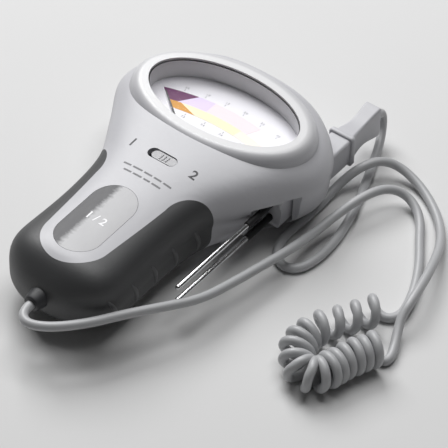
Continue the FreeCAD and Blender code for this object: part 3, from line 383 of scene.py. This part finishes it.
# From the curly stretch over the near one, wide round beside the head, back in a small loop
# and up to the end of the probe's grip. It begins where the last turn ends.
FAR_ROUTE = [mm(*p) for p in (
    (118.0, -48.1, 2.0), (119.0, -44.0, 2.0), (116.6, -38.0, 2.4), (113.6, -31.6, 4.2),
    (111.6, -26.3, 6.6), (111.2, -20.2, 9.2), (109.6, -10.6, 9.6), (106.0, 3.5, 8.4),
    (99.3, 20.7, 4.0), (89.2, 34.3, 2.0), (73.8, 45.0, 2.2), (60.2, 47.1, 6.0),
    (53.4, 40.7, 10.4), (49.0, 30.4, 10.0), (44.6, 21.8, 3.2), (45.6, 4.9, 2.0),
    (44.4, -11.4, 2.0), (46.6, -23.7, 2.0), (53.8, -30.1, 2.0), (61.1, -27.2, 2.0),
    (63.7, -14.6, 2.0), (62.2, 1.6, 2.0), (57.7, 18.0, 2.0), (52.0, 34.0, 2.0),
    (47.4, 45.8, 2.0), (44.2, 54.2, 3.8), (40.9, 60.8, 7.0), (39.5, 62.6, 12.6),
    (39.2, 60.4, 16.0), (39.2, 55.05, 16.0),
)]
# Turns of the curly stretch: how many, and how far apart they lie.
TURNS = ((4, 8.3), (5, 5.7), (4, 4.1), (1, 5.0), (3, 4.5))
# How far into its first turn the curly stretch takes over from the plain one.
FIRST_TURN = 20 / 360
# The first turns are pulled out and so narrower; they widen over these turns.
LOOSE_RADIUS = 5.2 * MM
WIDENS_FROM, WIDENS_OVER = 3.0, 3.0
# The turns are a little uneven, and at the bend their tops lean outwards.
UNEVEN, UNEVEN_RATE = 0.03, 2.3
LEAN = 1.0 * MM
LEAN_TURN, LEAN_TURNS = 6.0, 2.0


def nurbs(name, points):
    """A curve of one open spline along control points."""
    curve = bpy.data.curves.new(name, "CURVE")
    curve.dimensions = "3D"
    spline = curve.splines.new("NURBS")
    spline.points.add(len(points) - 1)
    for control, place in zip(spline.points, points):
        control.co = (*place, 1.0)
    spline.order_u = 3
    spline.use_endpoint_u = True
    spline.resolution_u = 8
    return curve


def line_of(name, points):
    """The points that a smooth line along control points runs through."""
    curve = nurbs(name, points)
    holder = bpy.data.objects.new(name, curve)
    bpy.context.scene.collection.objects.link(holder)
    mesh = bpy.data.meshes.new_from_object(holder)
    line = [v.co.copy() for v in mesh.vertices]
    bpy.data.objects.remove(holder)
    bpy.data.meshes.remove(mesh)
    bpy.data.curves.remove(curve)
    return line


def helix():
    """Control points of the curly stretch's turns, looser first and tight at its end."""
    middle = line_of("curl_line", CURL_ROUTE)
    lengths = [0.0]
    for a, b in zip(middle, middle[1:]):
        lengths.append(lengths[-1] + (b - a).length)
    squeeze = lengths[-1] / sum(count * pitch for count, pitch in TURNS)
    pitches = [pitch * squeeze for count, pitch in TURNS for turns in range(count)]
    total = len(pitches)
    centre = sum(middle, Vector()) / len(middle)
    up = Vector((0, 0, 1))
    points = []
    travelled, turn, index = 0.0, 0.0, 0
    while turn < total + 0.5 / COIL_STEPS:
        while index < len(lengths) - 2 and lengths[index + 1] < travelled:
            index += 1
        part = (travelled - lengths[index]) / (lengths[index + 1] - lengths[index])
        core = middle[index].lerp(middle[index + 1], part)
        side = up.cross((middle[index + 1] - middle[index]).normalized())
        angle = math.pi + 2 * math.pi * turn
        widened = min(max((turn - WIDENS_FROM) / WIDENS_OVER, 0.0), 1.0)
        reach = LOOSE_RADIUS + (COIL_RADIUS - LOOSE_RADIUS) * widened
        reach *= 1 + UNEVEN * math.sin(UNEVEN_RATE * turn) - UNEVEN
        away = core - centre
        away.z = 0.0
        bending = math.exp(-((turn - LEAN_TURN) / LEAN_TURNS) ** 2)
        lean = away.normalized() * (math.cos(angle) * LEAN * bending)
        place = core + reach * (math.cos(angle) * up + math.sin(angle) * side) + lean
        place.z -= COIL_RADIUS - reach
        if turn >= FIRST_TURN:
            points.append(place)
        travelled += pitches[min(int(turn), total - 1)] / COIL_STEPS
        turn += 1 / COIL_STEPS
    return points


def tube(line, radii, sides=28):
    """Rings of a round tube along a line, carried along without twisting."""
    rings = []
    along = (line[1] - line[0]).normalized()
    across = along.orthogonal().normalized()
    for index, (place, radius) in enumerate(zip(line, radii)):
        before = line[max(index - 1, 0)]
        after = line[min(index + 1, len(line) - 1)]
        new = (after - before).normalized()
        across = (across - new * across.dot(new)).normalized()
        other = new.cross(across)
        rings.append([
            place + radius * (math.cos(a) * across + math.sin(a) * other)
            for a in (2 * math.pi * k / sides for k in range(sides))
        ])
    return rings


def cords():
    """The cord: from the gland through its curly stretch, and on to the probe."""
    turns = helix()
    curve = nurbs("cord_coiled", NEAR_ROUTE + turns)
    curve.bevel_depth = CORD_THICK / 2
    curve.bevel_resolution = 5
    curve.use_fill_caps = True
    curve.materials.append(CORD)
    coiled = bpy.data.objects.new("cord_coiled", curve)
    bpy.context.scene.collection.objects.link(coiled)
    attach(coiled, "root")
    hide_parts("cord_gland_side", "cord_curly")
    far = line_of("far_line", [turns[-1]] + FAR_ROUTE)
    points, faces = ring_skin(tube(far, [CORD_THICK / 2] * len(far)))
    loose = made("cord_to_probe", outward(from_lists("cord_to_probe", points, faces)), [CORD], None)
    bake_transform(loose)
    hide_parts("cord_probe_side")


# ---------------------------------------------------------------- gland
GLAND_PROFILE = (
    (-111.5, 3.9), (-117.2, 4.0), (-118.4, 4.6), (-119.4, 4.6), (-120.6, 4.3), (-122.2, 4.0),
    (-123.6, 3.7), (-124.2, 3.4), (-124.3, 2.9),
)
GLAND_SIDES = 40


def gland():
    """The moulded strain relief at the handle's end, with a soft flared root."""
    rings = []
    for y, radius in GLAND_PROFILE:
        rings.append([
            mm(radius * math.cos(a), y, 20.0 + radius * math.sin(a))
            for a in (2 * math.pi * k / GLAND_SIDES for k in range(GLAND_SIDES))
        ])
    points, faces = ring_skin(rings)
    piece = made("gland_relief", outward(from_lists("gland_relief", points, faces)), [GLAND])
    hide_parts("cable_gland")


# ---------------------------------------------------------------- grip ribs
RIB_FIRST_Y = -52.4
RIB_STEP = 13.1
RIB_COUNT = 5
RIB_OUTSIDE_X = 60.0
RIB_TOP_Z = 23.6
RIB_LOW_Z = 9.5
RIB_THICK = 1.1 * MM
RIB_THIN = 0.16
RIB_SUNK = 0.25
RIB_BACK, RIB_BULGE, RIB_ARC = 2.2, 3.6, 0.72
RIB_STEPS = 14


def grip_ribs():
    """Raised crescents down both sides of the boot, thick at the top and thin below."""
    skin = skin_of("grip_boot")
    for side in (1, -1):
        for index in range(RIB_COUNT):
            line, radii = [], []
            for step in range(RIB_STEPS + 1):
                t = step / RIB_STEPS
                bulge = RIB_BULGE * math.sin(math.pi * t * RIB_ARC)
                start = mm(side * RIB_OUTSIDE_X,
                           RIB_FIRST_Y - RIB_STEP * index - RIB_BACK + bulge,
                           RIB_TOP_Z + (RIB_LOW_Z - RIB_TOP_Z) * t)
                place, normal = skin.ray_cast(start, Vector((-side, 0, 0)))[:2]
                line.append(place - normal * RIB_THICK * RIB_SUNK)
                fullness = math.sin(math.pi * min(1.0, t * 0.9 + 0.1)) ** 0.7
                radii.append(RIB_THICK * max(RIB_THIN, fullness))
            points, faces = ring_skin(tube(line, radii, 12))
            name = "rib_%s_%d" % ("right" if side > 0 else "left", index)
            # Each rib gets the lighter rubber of painted highlight.
            made(name, outward(from_lists(name, points, faces)), [RIB_PAINTED_HIGHLIGHT])


# ---------------------------------------------------------------- flange of the probe's grip
PROBE_AXIS = (39.2, 16.0)
FLANGE_RINGS = ((30.9, 5.8, 7.4), (31.2, 6.2, 7.8), (33.1, 6.2, 7.8), (33.5, 5.8, 7.4))
FLANGE_CORNER = 1.5


def rounded_ring(y, half_x, half_z, radius, steps=6):
    """An upright rounded rectangle of points across the probe's axis."""
    ring = []
    for corner, (sx, sz) in enumerate(((1, 1), (-1, 1), (-1, -1), (1, -1))):
        for step in range(steps + 1):
            angle = math.pi / 2 * (corner + step / steps)
            ring.append(mm(PROBE_AXIS[0] + sx * (half_x - radius) + radius * math.cos(angle), y,
                           PROBE_AXIS[1] + sz * (half_z - radius) + radius * math.sin(angle)))
    return ring


def grip_flange():
    """The soft-edged collar at the root of the probe's grip."""
    points, faces = ring_skin([rounded_ring(*ring, FLANGE_CORNER) for ring in FLANGE_RINGS])
    made("grip_flange", outward(from_lists("grip_flange", points, faces)), [PROBE], "probe")


# ---------------------------------------------------------------- printing on the case
CASE_PRINT = 0.04 * MM
CASE_LIFT = 0.02 * MM
RULE_HALF = 0.42
RULE_STEPS = 6
SWITCH_MARKS = (("mark_left", "1", -15.7), ("mark_right", "2", 16.0))
SWITCH_MARK_Y = -40.8
SWITCH_MARK_TALL, SWITCH_MARK_BOLD = 6.2 * MM, 0.12 * MM
LABEL_MARK_PLACE = mm(0.2, -83.8, 0)
LABEL_MARK_TALL, LABEL_MARK_BOLD = 5.4 * MM, 0.08 * MM
# Each dashed rule: its place along Y, then where each dash starts and ends.
DASHES = ((-52.0, (-11.2, -7.4, -6.4, -1.6, -0.6, 3.4, 4.4, 8.2, 9.2, 13.2)),
          (-55.1, (-8.8, -5.0, -4.0, 0.4, 1.4, 4.6, 5.6, 10.0)))


def strip(name, middle, half):
    """A flat ribbon along a line of places, of an even thickness."""
    low, high = [], []
    for index, (x, y) in enumerate(middle):
        x0, y0 = middle[max(index - 1, 0)]
        x1, y1 = middle[min(index + 1, len(middle) - 1)]
        along = math.hypot(x1 - x0, y1 - y0)
        nx, ny = -(y1 - y0) / along * half, (x1 - x0) / along * half
        low.append((x + nx, y + ny))
        high.append((x - nx, y - ny))
    outline = low + list(reversed(high))
    points, faces = ring_skin([[mm(x, y, 0) for x, y in outline],
                               [mm(x, y, 0) + Vector((0, 0, CASE_PRINT)) for x, y in outline]])
    return outward(from_lists(name, points, faces))


def case_print():
    """Generic marks: a figure at each end of the switch, dashed rules, the label's figures."""
    skin = skin_of("front_shell")
    for name, text, x in SWITCH_MARKS:
        mesh = figure_mesh(name, text, mm(x, SWITCH_MARK_Y, 0), SWITCH_MARK_TALL, 0.0,
                           CASE_PRINT, bold=SWITCH_MARK_BOLD)
        made(name, lay_on(mesh, skin, CASE_LIFT), [INK], smooth=False)
    for row, (y, ends) in enumerate(DASHES):
        for index, (start, end) in enumerate(zip(ends[::2], ends[1::2])):
            name = "dash_%d_%d" % (row, index)
            places = [(start + (end - start) * k / RULE_STEPS, y) for k in range(RULE_STEPS + 1)]
            mesh = lay_on(strip(name, places, RULE_HALF), skin, CASE_LIFT)
            made(name, mesh, [RULE_INK], smooth=False)
    mesh = figure_mesh("label_mark", "1 / 2", LABEL_MARK_PLACE, LABEL_MARK_TALL, 0.0,
                       CASE_PRINT, bold=LABEL_MARK_BOLD)
    made("label_mark", lay_on(mesh, skin_of("label_plate"), CASE_LIFT), [WHITE_INK], smooth=False)


# ---------------------------------------------------------------- window's painted shadow line
SHADOW_LINE_SIDES = 96
SHADOW_LINE_LOW, SHADOW_LINE_HIGH = -0.05 * MM, 0.16 * MM


def rim_shadow_line():
    """A thin dark ring of painted shadow between the clear window and its rim, where their gap lies
    in shade.
    """
    half_x, half_y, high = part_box("window_lens")[1]
    rings = []
    for inset, lift in ((0.0, SHADOW_LINE_LOW), (0.02 * MM, SHADOW_LINE_HIGH),
                        (0.42 * MM, SHADOW_LINE_HIGH), (0.46 * MM, SHADOW_LINE_LOW)):
        rings.append([
            Vector(((half_x - inset) * math.cos(a), (half_y - inset) * math.sin(a), high + lift))
            for a in (2 * math.pi * k / SHADOW_LINE_SIDES for k in range(SHADOW_LINE_SIDES))
        ])
    points, faces = ring_skin(rings + rings[:1], closed_ends=False)
    made("window_shadow_line", outward(from_lists("window_shadow_line", points, faces)), [PAINTED_SHADOW_LINE])


# ---------------------------------------------------------------- dial print
DIAL_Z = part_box("dial_plate")[1].z
PRINT_GAP = 0.02 * MM
PRINT_THICK = 0.05 * MM
# Each arc of the chart: the height of its crown, and how flat it is.
UPPER_EDGE = (6.6, 186.0)
MIDDLE_EDGE = (-0.1, 186.0)
LOWER_EDGE = (-4.7, 194.0)
LEFT_CUT = ((-32.2, 0.9), (-22.0, -7.2))
STEPS = 18


def edge_y(edge, x):
    """Height of one of the chart's flat arcs at x, in millimetres."""
    crown, spread_by = edge
    return crown - x * x / spread_by


def cut_x(y):
    """Where the slanted left end of the chart is, at height y."""
    (x0, y0), (x1, y1) = LEFT_CUT
    return x0 + (x1 - x0) * (y - y0) / (y1 - y0)


def patch(low, high, low_from, low_to, high_from, high_to):
    """Outline of a patch between two arcs, with slanting ends, in millimetres."""
    def steps(edge, start, end):
        places = [start + (end - start) * k / STEPS for k in range(STEPS + 1)]
        return [(x, edge_y(edge, x)) for x in places]
    return steps(low, low_from, low_to) + list(reversed(steps(high, high_from, high_to)))


def print_patch(name, outline, material):
    """A thin printed patch on the dial."""
    low = [Vector((x * MM, y * MM, DIAL_Z + PRINT_GAP)) for x, y in outline]
    high = [p + Vector((0, 0, PRINT_THICK)) for p in low]
    points, faces = ring_skin([low, high])
    made(name, outward(from_lists(name, points, faces)), [material], smooth=False)


def figure_mesh(name, text, place, tall, turn, thick, bold=0.0):
    """Raised figures that lie flat, turned about the vertical."""
    curve = bpy.data.curves.new(name, "FONT")
    curve.body = text
    curve.size = tall
    curve.extrude = thick / 2
    curve.offset = bold
    curve.align_x = "CENTER"
    curve.align_y = "CENTER"
    curve.resolution_u = 3
    holder = bpy.data.objects.new(name + "_text", curve)
    bpy.context.scene.collection.objects.link(holder)
    mesh = bpy.data.meshes.new_from_object(holder)
    bpy.data.objects.remove(holder)
    mesh.transform(Matrix.Translation(place) @ Matrix.Rotation(turn, 4, "Z"))
    return mesh


def dial_print():
    """The two coloured bands: each patch's arcs, then its ends along the lower and the upper."""
    left_upper = cut_x(edge_y(UPPER_EDGE, -32.0))
    left_middle = cut_x(edge_y(MIDDLE_EDGE, -26.5))
    left_lower = cut_x(edge_y(LOWER_EDGE, -22.0))
    bands = [
        ("band_purple", MIDDLE_EDGE, UPPER_EDGE, left_middle, -22.0, left_upper, -16.5, PURPLE),
        ("band_lavender", MIDDLE_EDGE, UPPER_EDGE, -22.0, -8.5, -16.5, -8.5, LAVENDER),
        ("band_pink", MIDDLE_EDGE, UPPER_EDGE, -8.5, 13.0, -8.5, 16.0, PINK),
        ("band_orange", LOWER_EDGE, MIDDLE_EDGE, left_lower, -11.0, left_middle, -20.5, ORANGE),
        ("band_yellow", LOWER_EDGE, MIDDLE_EDGE, -11.0, 9.0, -20.5, 10.0, YELLOW),
        ("band_peach", LOWER_EDGE, MIDDLE_EDGE, 9.0, 21.0, 10.0, 24.0, PEACH),
    ]
    for name, low, high, a, b, c, d, material in bands:
        print_patch(name, patch(low, high, a, b, c, d), material)


SCALES = (
    ("upper", UPPER_EDGE, 1, ("0.5", "1.0", "1.5", "2.0", "2.5", "3.0")),
    ("lower", LOWER_EDGE, -1, ("6.8", "7.2", "7.4", "7.6", "7.8", "8.2")),
)
SCALE_FIRST_X, SCALE_STEP = -24.0, 9.6
TICK_GAP, TICK_HALF_X, TICK_HALF_Y = 1.4, 0.12, 0.5
FIGURE_GAP = 1.7
FIGURE_TALL = 1.6 * MM


def scale_marks():
    """Ticks and generic figures above and below the bands."""
    for row, edge, side, figures in SCALES:
        for index, figure in enumerate(figures):
            x = SCALE_FIRST_X + index * SCALE_STEP
            y = edge_y(edge, x) + side * TICK_GAP
            tick = [(x + across * TICK_HALF_X, y + along * TICK_HALF_Y)
                    for across, along in ((-1, -1), (1, -1), (1, 1), (-1, 1))]
            print_patch("tick_%s_%d" % (row, index), tick, GREY_INK)
            slope = math.atan(-2 * x / edge[1])
            place = Vector((x * MM, (y + side * FIGURE_GAP) * MM,
                            DIAL_Z + PRINT_GAP + PRINT_THICK / 2))
            name = "figure_%s_%d" % (row, index)
            mesh = figure_mesh(name, figure, place, FIGURE_TALL, slope, PRINT_THICK)
            made(name, mesh, [GREY_INK], smooth=False)


# ---------------------------------------------------------------- floor, light and camera
VIEW_PLACE = Vector((0.49568, -0.67927, 0.78851))
VIEW_TARGET = Vector((0.03162, -0.04007, 0.0200))
VIEW_ROLL = math.radians(2.14)
VIEW_LENS = 216.9
FLOOR_HALF = 3.0
WORLD_LIGHT = 0.06


def floor():
    """The plain pale floor."""
    corners = [(x * FLOOR_HALF, y * FLOOR_HALF, 0) for x, y in ((-1, -1), (1, -1), (1, 1), (-1, 1))]
    mesh = from_lists("floor", corners, [(0, 1, 2, 3)])
    material = surface("floor_paper", (0.69, 0.69, 0.69), 0.9, vary=0.002, grain=60.0, bump=0.0,
                       specular=0.1)
    mesh.materials.append(material)
    piece = bpy.data.objects.new("floor", mesh)
    bpy.context.scene.collection.objects.link(piece)


def area_light(name, place, target, size, power):
    """A soft rectangular lamp that points at a target."""
    data = bpy.data.lights.new(name, "AREA")
    data.shape = "RECTANGLE"
    data.size, data.size_y = size
    data.energy = power
    lamp = bpy.data.objects.new(name, data)
    bpy.context.scene.collection.objects.link(lamp)
    lamp.location = place
    lamp.rotation_euler = (Vector(target) - Vector(place)).to_track_quat("-Z", "Y").to_euler()


def lights():
    """A key light high beyond the head's left, one overhead, and a faint even light."""
    world = bpy.data.worlds.new("studio")
    world.use_nodes = True
    backdrop = world.node_tree.nodes["Background"]
    backdrop.inputs["Color"].default_value = (1, 1, 1, 1)
    backdrop.inputs["Strength"].default_value = WORLD_LIGHT
    bpy.context.scene.world = world
    area_light("key", (-0.95, 0.55, 1.15), (0, -0.03, 0), (0.9, 0.9), 21.0)
    area_light("top", (-0.10, 0.40, 1.50), (0, 0, 0), (1.1, 0.8), 12.3)


def camera():
    """The view from above, over the handle's end and the probe's side."""
    data = bpy.data.cameras.new("view")
    data.lens = VIEW_LENS
    data.clip_end = 20
    viewer = bpy.data.objects.new("view", data)
    bpy.context.scene.collection.objects.link(viewer)
    aim = (VIEW_TARGET - VIEW_PLACE).to_track_quat("-Z", "Y").to_matrix().to_4x4()
    viewer.matrix_world = Matrix.Translation(VIEW_PLACE) @ aim @ Matrix.Rotation(VIEW_ROLL, 4, "Z")
    bpy.context.scene.camera = viewer


finish_nodes()
camera()
cords()
gland()
grip_ribs()
grip_flange()
case_print()
rim_shadow_line()
dial_print()
scale_marks()
floor()
lights()
bpy.context.scene.view_settings.view_transform = "Standard"
